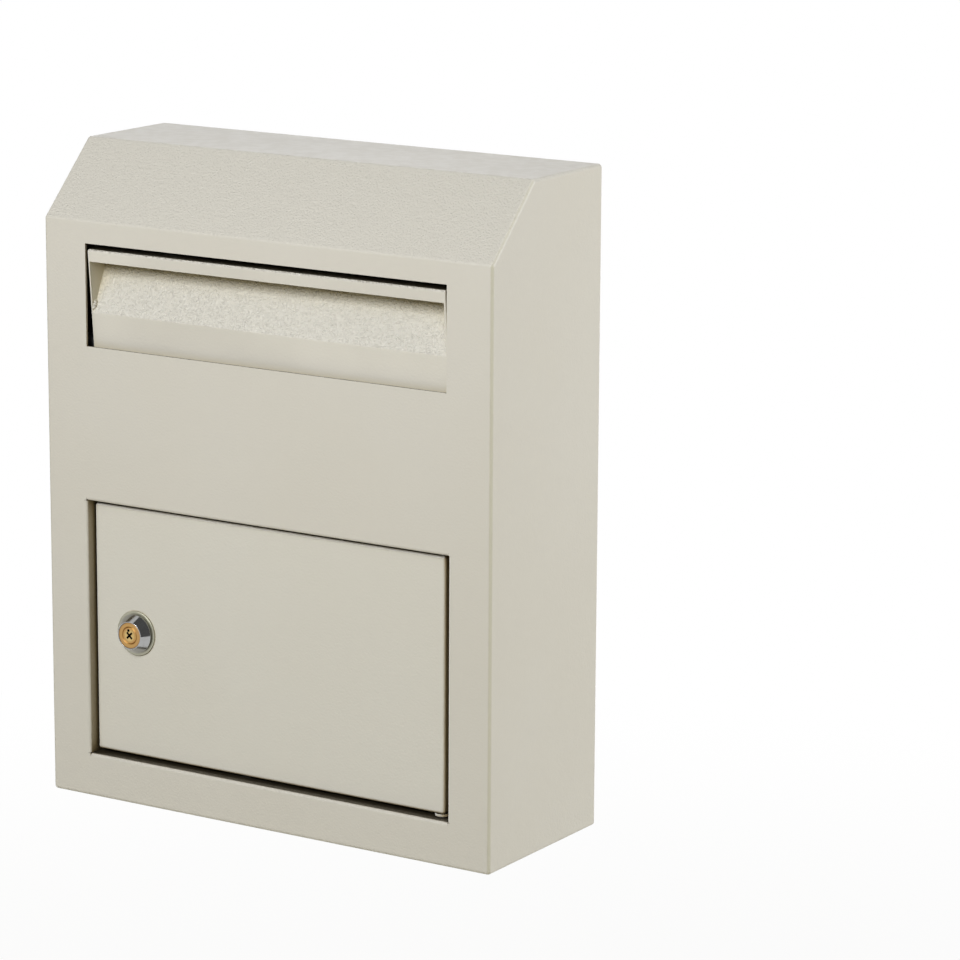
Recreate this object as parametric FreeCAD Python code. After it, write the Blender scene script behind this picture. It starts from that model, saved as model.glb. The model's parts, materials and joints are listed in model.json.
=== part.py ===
import FreeCAD, Part
import math
import os

Vec = FreeCAD.Vector

# Case of folded and welded sheet steel
case_width = 270.0
case_height = 340.0
case_depth = 100.0
slope_rise = 37.0
slope_run = 37.0
sheet = 1.2
case_bend = 2.0

# Wall fixing holes in the back panel
wall_hole_radius = 3.0
wall_hole_spacing_x = 160.0
wall_hole_spacing_z = 95.0
wall_hole_lowest = 45.0
back_flange_depth = 12.0
back_corner_notch = 4.0

# Door opening with its inward return flanges
opening_border = 24.5
opening_height = 135.0
opening_bottom = 23.0
return_depth = 20.5
return_bend = 1.5
corner_slit = 0.15
relief_radius = 0.5

# Slot for the deposit hopper
slot_border = 26.0
slot_height = 53.0
slot_drop = 11.5

# Door
door_recess = 4.9
door_flange_depth = 10.0
door_bend = 1.6
door_gap_free = 1.5
door_gap_hinge = 5.0
door_gap_bottom = 2.0
door_gap_top = 1.9
hinge_inset = 3.0
hinge_set = 3.7
hinge_ear_radius = 4.0
hinge_ear_sheet = 1.2
hinge_ear_root = 8.0
hinge_pin_radius = 1.5
hinge_head_radius = 2.7
hinge_head_height = 1.2
hinge_pin_tail = 1.0
hinge_washer_radius = 3.2
door_stop_height = 12.0
door_stop_reach = 7.5
door_stop_margin = 24.0

# Hopper, drawn about its pivot and leaned back at the foot
hopper_sheet = 1.0
hopper_bend = 0.7
hopper_side_gap = 1.1
hopper_lean = 4.75
hopper_swing = 45.0
hopper_setback = 5.5
hopper_pivot_rise = 1.0
lip_gap = 3.1
lip_inset = 0.3
lip_height = 6.2
scoop_fold_rise = 16.5
scoop_angle = 30.0
hopper_foot = 12.0
tray_slope = 30.0
tray_length = 47.0
tray_lip = 4.0
tray_drop = 5.0
cheek_clearance = 0.7
cheek_edge_radius = 0.6
horn_height = 7.5
horn_width = 8.0

# Hopper bearings
bracket_sheet = 1.5
bracket_gap = 8.0
bracket_height = 22.0
bracket_foot = 15.0
bracket_reach = 20.0
bracket_bend = 2.0
pivot_radius = 2.5
pivot_head_radius = 4.5
pivot_head_height = 1.8
pivot_tail = 2.2
groove_depth = 0.5
clip_thickness = 0.7
clip_gap = 0.4
clip_radius = 4.0
clip_mouth = 60.0
spacer_radius = 4.0

# Deflector plate behind the hopper
deflector_clearance = 3.0
deflector_slope = 31.0
deflector_end_gap = 3.0
deflector_flange = 14.0
deflector_edge_rise = 7.0

# Cam lock
lock_inset = 26.0
bezel_radius = 11.75
bezel_edge = 0.35
bezel_thickness = 1.0
cone_neck_radius = 9.5
cone_neck_height = 1.2
cone_base_radius = 10.1
cone_top_radius = 7.25
cone_height = 4.3
barrel_radius = 9.3
barrel_length = 15.0
barrel_flats = 16.0
barrel_rear_wall = 2.0
plug_radius = 6.8
plug_recess = 0.1
plug_chamfer = 0.25
plug_neck_radius = 5.0
plug_square = 7.0
ring_groove_radius = 4.4
ring_groove_width = 0.4
key_arm = 2.2
key_width = 0.9
key_depth = 10.0
dot_radius = 0.6
dot_left = 0.6
dot_up = 2.6
stud_radius = 3.0
stud_spare = 0.8
lock_washer_thickness = 0.8
lock_washer_radius = 11.5
lock_washer_teeth = 12
lock_nut_flats = 22.0
lock_nut_thickness = 5.0
stop_disc_radius = 9.0
stop_disc_thickness = 1.0
stop_lug_inner = 6.3
stop_lug_width = 3.0
lock_turn = 90.0
stop_slack = 3.0
cam_thickness = 2.0
cam_width = 14.0
cam_overlap = 9.5
spring_washer_thickness = 1.4
spring_washer_radius = 5.6
cam_nut_flats = 10.0
cam_nut_thickness = 5.0

# Fits
running = 0.05
push = 0.02
rest_gap = 0.3

# Places worked out from the sizes above
front = -case_depth
inner_front = front + sheet
half_width = case_width / 2
front_height = case_height - slope_rise
top_depth = case_depth - slope_run
slot_width = case_width - 2 * slot_border
slot_top = front_height - slot_drop
slot_bottom = slot_top - slot_height
opening_width = case_width - 2 * opening_border
opening_top = opening_bottom + opening_height
wall_hole_centre = wall_hole_lowest + wall_hole_spacing_z / 2

door_left = -opening_width / 2 + door_gap_free
door_right = opening_width / 2 - door_gap_hinge
door_foot = opening_bottom + door_gap_bottom
door_head = opening_top - door_gap_top
door_front = front + door_recess
door_back = door_front + door_flange_depth
hinge_x = door_right - hinge_inset
hinge_y = door_front + hinge_set

lean = math.radians(hopper_lean)
lip_top = slot_top - lip_gap
pivot_z = slot_bottom + hopper_pivot_rise
lip_rise = lip_top - pivot_z
pivot_y = front + lip_inset + lip_rise * math.tan(lean) + hopper_setback / math.cos(lean)
lip_u = lip_rise * math.cos(lean) + (pivot_y - front - lip_inset) * math.sin(lean)
cheek_outer = slot_width / 2 - hopper_side_gap
cheek_inner = cheek_outer - hopper_sheet
slot_corner_reach = math.hypot(pivot_y - inner_front, slot_top - pivot_z)
cheek_radius = slot_corner_reach - cheek_clearance
horn_radius = cheek_radius + horn_height
bracket_x = cheek_outer + bracket_gap

lock_x = door_left + lock_inset
cam_reach = lock_inset + door_gap_free + cam_overlap
lock_z = opening_bottom + opening_height / 2
barrel_end = barrel_length
neck_end = barrel_end + rest_gap
disc_end = neck_end + stop_disc_thickness
cam_end = disc_end + cam_thickness
spring_end = cam_end + spring_washer_thickness
cam_nut_end = spring_end + cam_nut_thickness
cone_foot = -bezel_thickness - cone_neck_height
plug_front = cone_foot - cone_height + plug_recess


# Small helpers

def block(x0, x1, y0, y1, z0, z1):
    return Part.makeBox(x1 - x0, y1 - y0, z1 - z0, Vec(x0, y0, z0))


def rod(radius, start, end):
    axis = end - start
    return Part.makeCylinder(radius, axis.Length, start, axis)


def ring(outer, inner, start, end):
    return rod(outer, start, end).cut(rod(inner, start, end))


def flat_yz(y, z):
    return Vec(0, y, z)


def flat_xy(x, y):
    return Vec(x, y, 0)


def slab(points, place, push_out):
    # flat polygon, drawn where place puts it and pushed out by a vector
    corners = [place(a, b) for a, b in points]
    return Part.Face(Part.makePolygon(corners + corners[:1])).extrude(push_out)


def mirrored(shape):
    return shape.mirror(Vec(0, 0, 0), Vec(1, 0, 0))


def round_edges(shape, radius, wanted):
    edges = [edge for edge in shape.Edges if wanted(edge)]
    return shape.makeFillet(radius, edges)


def bevel_edges(shape, size, wanted):
    edges = [edge for edge in shape.Edges if wanted(edge)]
    return shape.makeChamfer(size, edges)


def reaches(edge, axis, value):
    # both ends of the edge lie at this value of x, y or z
    return all(abs(getattr(v.Point, axis) - value) < 1e-6 for v in edge.Vertexes)


def along(edge, axis):
    ends = [v.Point for v in edge.Vertexes]
    run = ends[-1] - ends[0]
    return abs(abs(getattr(run, axis)) - run.Length) < 1e-6 < run.Length


def side_run(path, bend, offset):
    # one side of a folded strip: straight runs and arcs, offset to the left of its middle line
    pieces = []
    last = None
    for i, point in enumerate(path):
        here = Vec(point[0], point[1], 0)
        before = Vec(*path[i - 1], 0) if i > 0 else None
        after = Vec(*path[i + 1], 0) if i + 1 < len(path) else None
        if before is None or after is None:
            run = (after - here) if before is None else (here - before)
            run.normalize()
            end = here + Vec(-run.y, run.x, 0) * offset
            if last is not None and (end - last).Length > 1e-6:
                pieces.append(("line", last, end))
            last = end
            continue
        first = (here - before).normalize()
        second = (after - here).normalize()
        turn = math.atan2(first.x * second.y - first.y * second.x, first.dot(second))
        way = 1 if turn > 0 else -1
        cut_back = bend * math.tan(abs(turn) / 2)
        left_first = Vec(-first.y, first.x, 0)
        left_second = Vec(-second.y, second.x, 0)
        centre = here - first * cut_back + left_first * (bend * way)
        start = here - first * cut_back + left_first * offset
        end = here + second * cut_back + left_second * offset
        out = (here - centre).normalize()
        middle = centre + out * (bend - offset * way)
        if (start - last).Length > 1e-6:
            pieces.append(("line", last, start))
        pieces.append(("arc", start, middle, end))
        last = end
    return pieces


def folded(path, thickness, bend, place, push_out):
    # sheet folded along a middle line whose bends have the given middle radius
    def lift(p):
        return place(p.x, p.y)

    left = side_run(path, bend, thickness / 2)
    right = side_run(path, bend, -thickness / 2)
    edges = []
    for piece in left + right:
        points = [lift(p) for p in piece[1:]]
        if piece[0] == "line":
            edges.append(Part.LineSegment(*points).toShape())
        else:
            edges.append(Part.Arc(*points).toShape())
    for pick in (0, -1):
        ends = [run[pick][1 if pick == 0 else -1] for run in (left, right)]
        edges.append(Part.LineSegment(lift(ends[0]), lift(ends[1])).toShape())
    wire = Part.Wire(Part.__sortEdges__(edges))
    return Part.Face(wire).extrude(push_out)


def turned(points):
    # solid of revolution about the lock's axis from radius and depth behind the door's face
    corners = [Vec(radius, depth, 0) for radius, depth in points]
    face = Part.Face(Part.makePolygon(corners + corners[:1]))
    return face.revolve(Vec(0, 0, 0), Vec(0, 1, 0), 360)


def hexagon(flats, y0, y1):
    corner = flats / 2 / math.cos(math.pi / 6)
    points = []
    for i in range(6):
        angle = math.radians(60 * i)
        points.append((corner * math.cos(angle), corner * math.sin(angle)))
    prism = slab(points, lambda x, z: Vec(x, y0, z), Vec(0, y1 - y0, 0))
    # the corners of the outer face are turned off at 30 degrees
    face = flats / 2 * 0.97
    clear = corner + 1
    fall = (clear - face) * math.tan(math.radians(30))
    return prism.common(turned([(0, y0), (clear, y0), (clear, y1 - fall), (face, y1), (0, y1)]))


# Case and back panel

def case_form(inset, back, radius):
    # the case's outer form set in by a sheet, with every fold and welded edge rounded
    slant = math.atan2(case_depth - top_depth, case_height - front_height)
    knee = front_height - inset * math.tan(slant / 2)
    brow = -top_depth + inset * math.tan((math.pi / 2 - slant) / 2)
    profile = [
        (back, inset),
        (front + inset, inset),
        (front + inset, knee),
        (brow, case_height - inset),
        (back, case_height - inset),
    ]
    width = case_width - 2 * inset
    form = slab(profile, lambda y, z: Vec(-width / 2, y, z), Vec(width, 0, 0))
    return round_edges(form, radius, lambda edge: not reaches(edge, "y", back))


def return_flanges():
    half = opening_width / 2
    middle = sheet / 2
    bend = return_bend - middle
    inner_end = front + return_depth
    tall = opening_height - 2 * corner_slit
    wide = opening_width - 2 * corner_slit
    side_path = [(half + return_bend, front + middle), (half + middle, front + middle),
                 (half + middle, inner_end)]
    right = folded(side_path, sheet, bend, flat_xy, Vec(0, 0, tall))
    right.translate(Vec(0, 0, opening_bottom + corner_slit))

    def across(z, way):
        path = [(front + middle, z + way * return_bend), (front + middle, z + way * middle),
                (inner_end, z + way * middle)]
        strip = folded(path, sheet, bend, flat_yz, Vec(wide, 0, 0))
        strip.translate(Vec(-wide / 2, 0, 0))
        return strip

    return [right, mirrored(right), across(opening_top, 1), across(opening_bottom, -1)]


def hinge_pin_hole(z0, z1, radius):
    return rod(radius, Vec(hinge_x, hinge_y, z0), Vec(hinge_x, hinge_y, z1))


def body_shell():
    shell = case_form(0, 0, case_bend).cut(case_form(sheet, sheet, case_bend - sheet))
    half = opening_width / 2
    y0, y1 = front - 1, inner_front
    tall = block(-half, half, y0, y1, opening_bottom - return_bend, opening_top + return_bend)
    wide = block(-half - return_bend, half + return_bend, y0, y1, opening_bottom, opening_top)
    shell = shell.cut(tall).cut(wide)
    shell = shell.fuse(return_flanges())
    for x in (-half, half):
        for z in (opening_bottom, opening_top):
            shell = shell.cut(rod(relief_radius, Vec(x, y0, z), Vec(x, y1, z)))
    shell = shell.cut(block(-slot_width / 2, slot_width / 2, y0, y1, slot_bottom, slot_top))
    for z in (opening_bottom - sheet, opening_top):
        shell = shell.cut(hinge_pin_hole(z - 1, z + sheet + 1, hinge_pin_radius + push))
    return shell.removeSplitter()


def back_panel():
    half = half_width - sheet

    def tray_form(inset, depth, radius):
        form = block(-half + inset, half - inset, -depth, -inset,
                     sheet + inset, case_height - sheet - inset)
        return round_edges(form, radius, lambda edge: reaches(edge, "y", -inset))

    panel = tray_form(0, back_flange_depth, case_bend)
    panel = panel.cut(tray_form(sheet, back_flange_depth + 1, case_bend - sheet))
    for x in (-half, half - back_corner_notch):
        for z in (sheet, case_height - sheet - back_corner_notch):
            panel = panel.cut(block(x, x + back_corner_notch, -back_flange_depth, 0,
                                    z, z + back_corner_notch))
    for x in (-wall_hole_spacing_x / 2, wall_hole_spacing_x / 2):
        for z in (wall_hole_lowest, wall_hole_lowest + wall_hole_spacing_z):
            panel = panel.cut(rod(wall_hole_radius, Vec(x, -sheet, z), Vec(x, 0, z)))
    return panel


def deflector_plate():
    # starts just outside the hopper's swing and slopes up to the back panel
    middle = hopper_sheet / 2
    edge_y = pivot_y + math.sqrt((cheek_radius + deflector_clearance) ** 2 - deflector_edge_rise ** 2)
    edge_z = pivot_z + deflector_edge_rise
    back_y = -sheet - middle
    bend_z = edge_z + (back_y - edge_y) * math.tan(math.radians(deflector_slope))
    path = [(edge_y, edge_z), (back_y, bend_z), (back_y, bend_z + deflector_flange)]
    half = half_width - 2 * sheet - deflector_end_gap
    plate = folded(path, hopper_sheet, hopper_bend, flat_yz, Vec(2 * half, 0, 0))
    plate.translate(Vec(-half, 0, 0))
    return plate


# Door, its hinge and its stops

def door_panel():
    def pan_form(inset, depth, radius):
        form = block(door_left + inset, door_right - inset, door_front + inset, door_front + depth,
                     door_foot + inset, door_head - inset)
        return round_edges(form, radius, lambda edge: not reaches(edge, "y", door_front + depth))

    door = pan_form(0, door_flange_depth, door_bend)
    door = door.cut(pan_form(sheet, door_flange_depth + 1, door_bend - sheet))
    # an ear under the pan carries the door, and the upper pin goes straight into the pan's flange
    ear_foot = door_foot - hinge_ear_sheet
    eye = hinge_pin_hole(ear_foot, door_foot, hinge_ear_radius)
    root = block(hinge_x - hinge_ear_radius, door_right - door_bend,
                 hinge_y, door_front + hinge_ear_root, ear_foot, door_foot)
    door = door.fuse([eye, root])
    for z0, z1 in ((ear_foot, door_foot + sheet), (door_head - sheet, door_head)):
        door = door.cut(hinge_pin_hole(z0, z1, hinge_pin_radius + running))
    hole = lock_barrel(barrel_radius + push, barrel_flats + 2 * push, 0, sheet)
    return door.cut(at_lock(hole)).removeSplitter()


def hinge_pin_top():
    head = opening_top + sheet
    tail = door_head - sheet - hinge_pin_tail
    pin = rod(hinge_pin_radius, Vec(hinge_x, hinge_y, tail), Vec(hinge_x, hinge_y, head))
    top = head + hinge_head_height
    cap = rod(hinge_head_radius, Vec(hinge_x, hinge_y, head), Vec(hinge_x, hinge_y, top))
    cap = bevel_edges(cap, hinge_head_height / 2, lambda edge: reaches(edge, "z", top))
    return pin.fuse(cap).removeSplitter()


def hinge_pin_bottom():
    head = opening_bottom - sheet
    tail = door_foot + sheet + hinge_pin_tail
    pin = rod(hinge_pin_radius, Vec(hinge_x, hinge_y, head), Vec(hinge_x, hinge_y, tail))
    foot = head - hinge_head_height
    cap = rod(hinge_head_radius, Vec(hinge_x, hinge_y, foot), Vec(hinge_x, hinge_y, head))
    cap = bevel_edges(cap, hinge_head_height / 2, lambda edge: reaches(edge, "z", foot))
    return pin.fuse(cap).removeSplitter()


def hinge_washer():
    # carries the door's weight between its lower ear and the return flange
    z0, z1 = opening_bottom, door_foot - hinge_ear_sheet - rest_gap
    return ring(hinge_washer_radius, hinge_pin_radius + running,
                Vec(hinge_x, hinge_y, z0), Vec(hinge_x, hinge_y, z1))


def door_stops():
    # two small angles on the free side's return flange, just behind the closed door
    x0 = -opening_width / 2 + sheet / 2
    y0 = door_back + rest_gap + sheet / 2
    path = [(x0, front + return_depth), (x0, y0), (-opening_width / 2 + door_stop_reach, y0)]
    stops = []
    for z in (opening_bottom + door_stop_margin, opening_top - door_stop_margin - door_stop_height):
        stop = folded(path, sheet, sheet, flat_xy, Vec(0, 0, door_stop_height))
        stop.translate(Vec(0, 0, z))
        stops.append(stop)
    return Part.makeCompound(stops)


# Hopper, drawn upright about its pivot with y inwards and z up, then leaned into place

def in_place(shape):
    shape.rotate(Vec(0, 0, 0), Vec(1, 0, 0), hopper_lean)
    shape.translate(Vec(0, pivot_y, pivot_z))
    return shape


def hopper_front():
    # one strip: rest foot, lower panel, finger scoop, ledge and lip
    middle = hopper_sheet / 2
    face = -hopper_setback + middle
    foot = -hopper_foot + middle
    ledge = lip_u - middle
    toe_depth = pivot_y - inner_front - rest_gap
    toe = (foot * math.sin(lean) - toe_depth) / math.cos(lean)
    scoop = face + (ledge - scoop_fold_rise) * math.tan(math.radians(scoop_angle))
    path = [(toe, foot), (face, foot), (face, scoop_fold_rise), (scoop, ledge), (face, ledge),
            (face, lip_u - lip_height)]
    strip = folded(path, hopper_sheet, hopper_bend, flat_yz, Vec(2 * cheek_inner, 0, 0))
    strip.translate(Vec(-cheek_inner, 0, 0))
    return in_place(strip)


def tray_direction():
    angle = math.radians(hopper_lean + tray_slope)
    return math.cos(angle), -math.sin(angle)


def hopper_tray():
    # chute floor, hooked on the inside of the lower panel and turned down at its rear edge
    middle = hopper_sheet / 2
    along_y, along_z = tray_direction()
    y0, z0 = -hopper_setback + hopper_sheet + middle, -tray_drop
    y1, z1 = y0 + along_y * tray_length, z0 + along_z * tray_length
    path = [(y0, -hopper_foot + hopper_sheet + hopper_bend), (y0, z0), (y1, z1),
            (y1 + along_z * tray_lip, z1 - along_y * tray_lip)]
    strip = folded(path, hopper_sheet, hopper_bend, flat_yz, Vec(2 * cheek_inner, 0, 0))
    strip.translate(Vec(-cheek_inner, 0, 0))
    return in_place(strip)


def stop_horn():
    # meets the inside of the case above the slot when the hopper is fully open
    open_lean = lean + math.radians(hopper_swing)
    sine, cosine = math.sin(open_lean), math.cos(open_lean)
    ahead = pivot_y - inner_front - rest_gap

    def when_open(forward, up):
        return -forward * cosine + up * sine, forward * sine + up * cosine

    root_up = math.sqrt((cheek_radius - 1) ** 2 - ahead ** 2)
    tip_up = math.sqrt(horn_radius ** 2 - ahead ** 2)
    corners = [when_open(ahead, root_up), when_open(ahead, tip_up),
               when_open(ahead - horn_width / 2, tip_up), when_open(ahead - horn_width, root_up)]
    return slab(corners, flat_yz, Vec(hopper_sheet, 0, 0))


def hopper_cheek_right():
    disc = rod(cheek_radius, Vec(0, 0, 0), Vec(hopper_sheet, 0, 0))
    along_y, along_z = tray_direction()
    far = 2 * cheek_radius
    corners = [(-hopper_setback, -hopper_foot), (-hopper_setback, lip_u), (far, lip_u),
               (-hopper_setback + along_y * far, -hopper_foot + along_z * far)]
    cheek = disc.common(slab(corners, flat_yz, Vec(hopper_sheet, 0, 0)))
    cheek = cheek.fuse(stop_horn()).removeSplitter()

    def on_rim(point):
        return abs(point.y + hopper_setback) < 1e-6 or abs(point.z - lip_u) < 1e-6

    # its top corner follows the lip's bend, and the rim that shows is rounded
    cheek = round_edges(cheek, hopper_bend + hopper_sheet / 2,
                        lambda edge: along(edge, "x") and reaches(edge, "y", -hopper_setback)
                        and reaches(edge, "z", lip_u))
    cheek = round_edges(cheek, cheek_edge_radius,
                        lambda edge: reaches(edge, "x", hopper_sheet)
                        and all(on_rim(v.Point) for v in edge.Vertexes))
    cheek = cheek.cut(rod(pivot_radius + running, Vec(0, 0, 0), Vec(hopper_sheet, 0, 0)))
    cheek.translate(Vec(cheek_inner, 0, 0))
    return in_place(cheek)


def hopper_cheek_left():
    return mirrored(hopper_cheek_right())


def pivot_line(x):
    return Vec(x, pivot_y, pivot_z)


def hopper_bracket_right():
    middle = bracket_sheet / 2
    y0 = inner_front + middle
    path = [(bracket_x + bracket_foot, y0), (bracket_x + middle, y0),
            (bracket_x + middle, inner_front + bracket_reach)]
    bracket = folded(path, bracket_sheet, bracket_bend, flat_xy, Vec(0, 0, bracket_height))
    bracket.translate(Vec(0, 0, pivot_z - bracket_height / 2))
    bracket = round_edges(bracket, bracket_height / 4,
                          lambda edge: along(edge, "x") and reaches(edge, "y", inner_front + bracket_reach))
    bore = rod(pivot_radius + push, pivot_line(bracket_x), pivot_line(bracket_x + bracket_sheet))
    return bracket.cut(bore)


def hopper_bracket_left():
    return mirrored(hopper_bracket_right())


def clip_start():
    return cheek_inner - clip_gap - clip_thickness


def hopper_pivot_right():
    head = bracket_x + bracket_sheet
    pin = rod(pivot_radius, pivot_line(cheek_inner - pivot_tail), pivot_line(head))
    cap = rod(pivot_head_radius, pivot_line(head), pivot_line(head + pivot_head_height))
    cap = bevel_edges(cap, pivot_head_height * 0.4,
                      lambda edge: reaches(edge, "x", head + pivot_head_height))
    groove = ring(pivot_radius + 1, pivot_radius - groove_depth, pivot_line(clip_start()),
                  pivot_line(clip_start() + clip_thickness))
    return pin.fuse(cap).cut(groove).removeSplitter()


def hopper_pivot_left():
    return mirrored(hopper_pivot_right())


def hopper_clips():
    start, end = pivot_line(clip_start()), pivot_line(clip_start() + clip_thickness)
    clip = ring(clip_radius, pivot_radius - groove_depth + push, start, end)
    spread = 2 * clip_radius
    edge = math.radians(clip_mouth / 2)
    across, up = spread * math.cos(edge), spread * math.sin(edge)
    mouth = [(0, 0), (across, up), (across, -up)]
    gap = slab(mouth, lambda y, z: start + Vec(0, y, z), end - start)
    clip = clip.cut(gap)
    return Part.makeCompound([clip, mirrored(clip)])


def hopper_spacers():
    slack = rest_gap / 2
    start, end = pivot_line(cheek_outer + slack), pivot_line(bracket_x - slack)
    spacer = ring(spacer_radius, pivot_radius + running, start, end)
    return Part.makeCompound([spacer, mirrored(spacer)])


# Cam lock, drawn about its own axis with y as depth behind the door's face

def at_lock(shape):
    shape.translate(Vec(lock_x, door_front, lock_z))
    return shape


def lock_barrel(radius, flats, y0, y1):
    side = radius + 1
    full = rod(radius, Vec(0, y0, 0), Vec(0, y1, 0))
    return full.common(block(-side, side, y0, y1, -flats / 2, flats / 2))


def stop_sector(inner, outer, y0, y1, middle, half_angle):
    # ring segment about the lock's axis, its middle measured from up towards the free side
    points = [(0, 0)]
    steps = 6
    reach = 2 * outer
    for i in range(steps + 1):
        angle = math.radians(middle - half_angle + 2 * half_angle * i / steps)
        points.append((-reach * math.sin(angle), reach * math.cos(angle)))
    wedge = slab(points, lambda x, z: Vec(x, y0, z), Vec(0, y1 - y0, 0))
    return ring(outer, inner, Vec(0, y0, 0), Vec(0, y1, 0)).common(wedge)


def lug_half_angle():
    return math.degrees(math.asin(stop_lug_width / 2 / stop_lug_inner))


def lock_housing():
    bore = plug_radius + running
    ring_front = -bezel_thickness
    cone_front = cone_foot - cone_height
    profile = [
        (bore, cone_front),
        (cone_top_radius, cone_front),
        (cone_base_radius, cone_foot),
        (cone_neck_radius, cone_foot),
        (cone_neck_radius, ring_front),
        (bezel_radius - bezel_edge, ring_front),
        (bezel_radius, ring_front + bezel_edge),
        (bezel_radius, 0),
        (bore, 0),
    ]
    wall = barrel_end - barrel_rear_wall
    barrel = lock_barrel(barrel_radius, barrel_flats, 0, barrel_end)
    barrel = barrel.cut(rod(bore, Vec(0, 0, 0), Vec(0, wall, 0)))
    barrel = barrel.cut(rod(plug_neck_radius + running, Vec(0, wall, 0), Vec(0, barrel_end, 0)))
    lug = stop_sector(stop_lug_inner, barrel_flats / 2, barrel_end, disc_end, 0, lug_half_angle())
    return at_lock(turned(profile).fuse([barrel, lug]).removeSplitter())


def lock_plug():
    shoulder = barrel_end - barrel_rear_wall - rest_gap
    groove = plug_front + ring_groove_width
    profile = [
        (0, plug_front),
        (ring_groove_radius - ring_groove_width, plug_front),
        (ring_groove_radius, groove),
        (ring_groove_radius + ring_groove_width, plug_front),
        (plug_radius - plug_chamfer, plug_front),
        (plug_radius, plug_front + plug_chamfer),
        (plug_radius, shoulder),
        (plug_neck_radius, shoulder),
        (plug_neck_radius, neck_end),
        (stud_radius, neck_end),
        (stud_radius, cam_nut_end + stud_spare),
        (0, cam_nut_end + stud_spare),
    ]
    side = plug_square / 2
    plug = turned(profile).fuse(block(-side, side, neck_end, cam_end, -side, side))
    arm = block(-key_arm, key_arm, plug_front, plug_front + key_depth, -key_width / 2, key_width / 2)
    for angle in (45, -45):
        slot = arm.copy()
        slot.rotate(Vec(0, 0, 0), Vec(0, 1, 0), angle)
        plug = plug.cut(slot)
    dot_floor = plug_front + key_depth / 4
    dot = rod(dot_radius, Vec(-dot_left, plug_front, dot_up), Vec(-dot_left, dot_floor, dot_up))
    return at_lock(plug.cut(dot).removeSplitter())


def lock_washer():
    washer = rod(lock_washer_radius, Vec(0, sheet, 0), Vec(0, sheet + lock_washer_thickness, 0))
    washer = washer.cut(lock_barrel(barrel_radius + push, barrel_flats + 2 * push, sheet,
                                    sheet + lock_washer_thickness))
    tooth_gap = math.pi * lock_washer_radius / lock_washer_teeth / 2
    notch = block(-tooth_gap / 2, tooth_gap / 2, sheet, sheet + lock_washer_thickness,
                  (barrel_radius + lock_washer_radius) / 2, lock_washer_radius + 1)
    for i in range(lock_washer_teeth):
        cut = notch.copy()
        cut.rotate(Vec(0, 0, 0), Vec(0, 1, 0), 360.0 * i / lock_washer_teeth)
        washer = washer.cut(cut)
    return at_lock(washer)


def lock_nut():
    y0 = sheet + lock_washer_thickness
    y1 = y0 + lock_nut_thickness
    nut = hexagon(lock_nut_flats, y0, y1)
    return at_lock(nut.cut(rod(barrel_radius + push, Vec(0, y0, 0), Vec(0, y1, 0))))


def square_hole(y0, y1):
    side = plug_square / 2 + push
    return block(-side, side, y0, y1, -side, side)


def lock_stop_disc():
    # its notch runs either side of the housing's lug, which ends the key's quarter turn
    disc = rod(stop_disc_radius, Vec(0, neck_end, 0), Vec(0, disc_end, 0))
    half_angle = lock_turn / 2 + lug_half_angle() + stop_slack
    notch = stop_sector(stop_lug_inner - rest_gap, stop_disc_radius + 1, neck_end, disc_end,
                        -lock_turn / 2, half_angle)
    return at_lock(disc.cut(notch).cut(square_hole(neck_end, disc_end)))


def lock_cam():
    half = cam_width / 2
    heel = rod(half + 1, Vec(0, disc_end, 0), Vec(0, cam_end, 0))
    arm = block(-half, half, disc_end, cam_end, 0, cam_reach)
    arm = round_edges(arm, half * 0.6, lambda edge: along(edge, "y") and reaches(edge, "z", cam_reach))
    return at_lock(heel.fuse(arm).cut(square_hole(disc_end, cam_end)).removeSplitter())


def cam_spring_washer():
    washer = ring(spring_washer_radius, stud_radius + push, Vec(0, cam_end, 0), Vec(0, spring_end, 0))
    split = block(0, spring_washer_radius + 1, cam_end, spring_end, -spring_washer_thickness / 4,
                  spring_washer_thickness / 4)
    return at_lock(washer.cut(split))


def cam_nut():
    nut = hexagon(cam_nut_flats, spring_end, cam_nut_end)
    return at_lock(nut.cut(rod(stud_radius + push, Vec(0, spring_end, 0), Vec(0, cam_nut_end, 0))))


pieces = [
    body_shell,
    back_panel,
    deflector_plate,
    door_panel,
    door_stops,
    hinge_pin_top,
    hinge_pin_bottom,
    hinge_washer,
    hopper_front,
    hopper_tray,
    hopper_cheek_left,
    hopper_cheek_right,
    hopper_bracket_left,
    hopper_bracket_right,
    hopper_pivot_left,
    hopper_pivot_right,
    hopper_clips,
    hopper_spacers,
    lock_housing,
    lock_plug,
    lock_washer,
    lock_nut,
    lock_stop_disc,
    lock_cam,
    cam_spring_washer,
    cam_nut,
]

# The origin is the middle of the wall holes, on the wall face
os.makedirs("parts", exist_ok=True)
for piece in pieces:
    shape = piece()
    shape.translate(Vec(0, 0, -wall_hole_centre))
    shape.exportStep("parts/" + piece.__name__ + ".step")
    print(piece.__name__, len(shape.Solids), "solid", round(shape.Volume), "mm3", shape.isValid())
print("hopper pivot", round(pivot_y, 3), round(pivot_z - wall_hole_centre, 3))
print("door hinge", round(hinge_x, 3), round(hinge_y, 3))
print("lock axis", round(lock_x, 3), round(lock_z - wall_hole_centre, 3))
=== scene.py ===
import json
import math
import bmesh
import bpy
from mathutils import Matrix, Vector, noise


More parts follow.
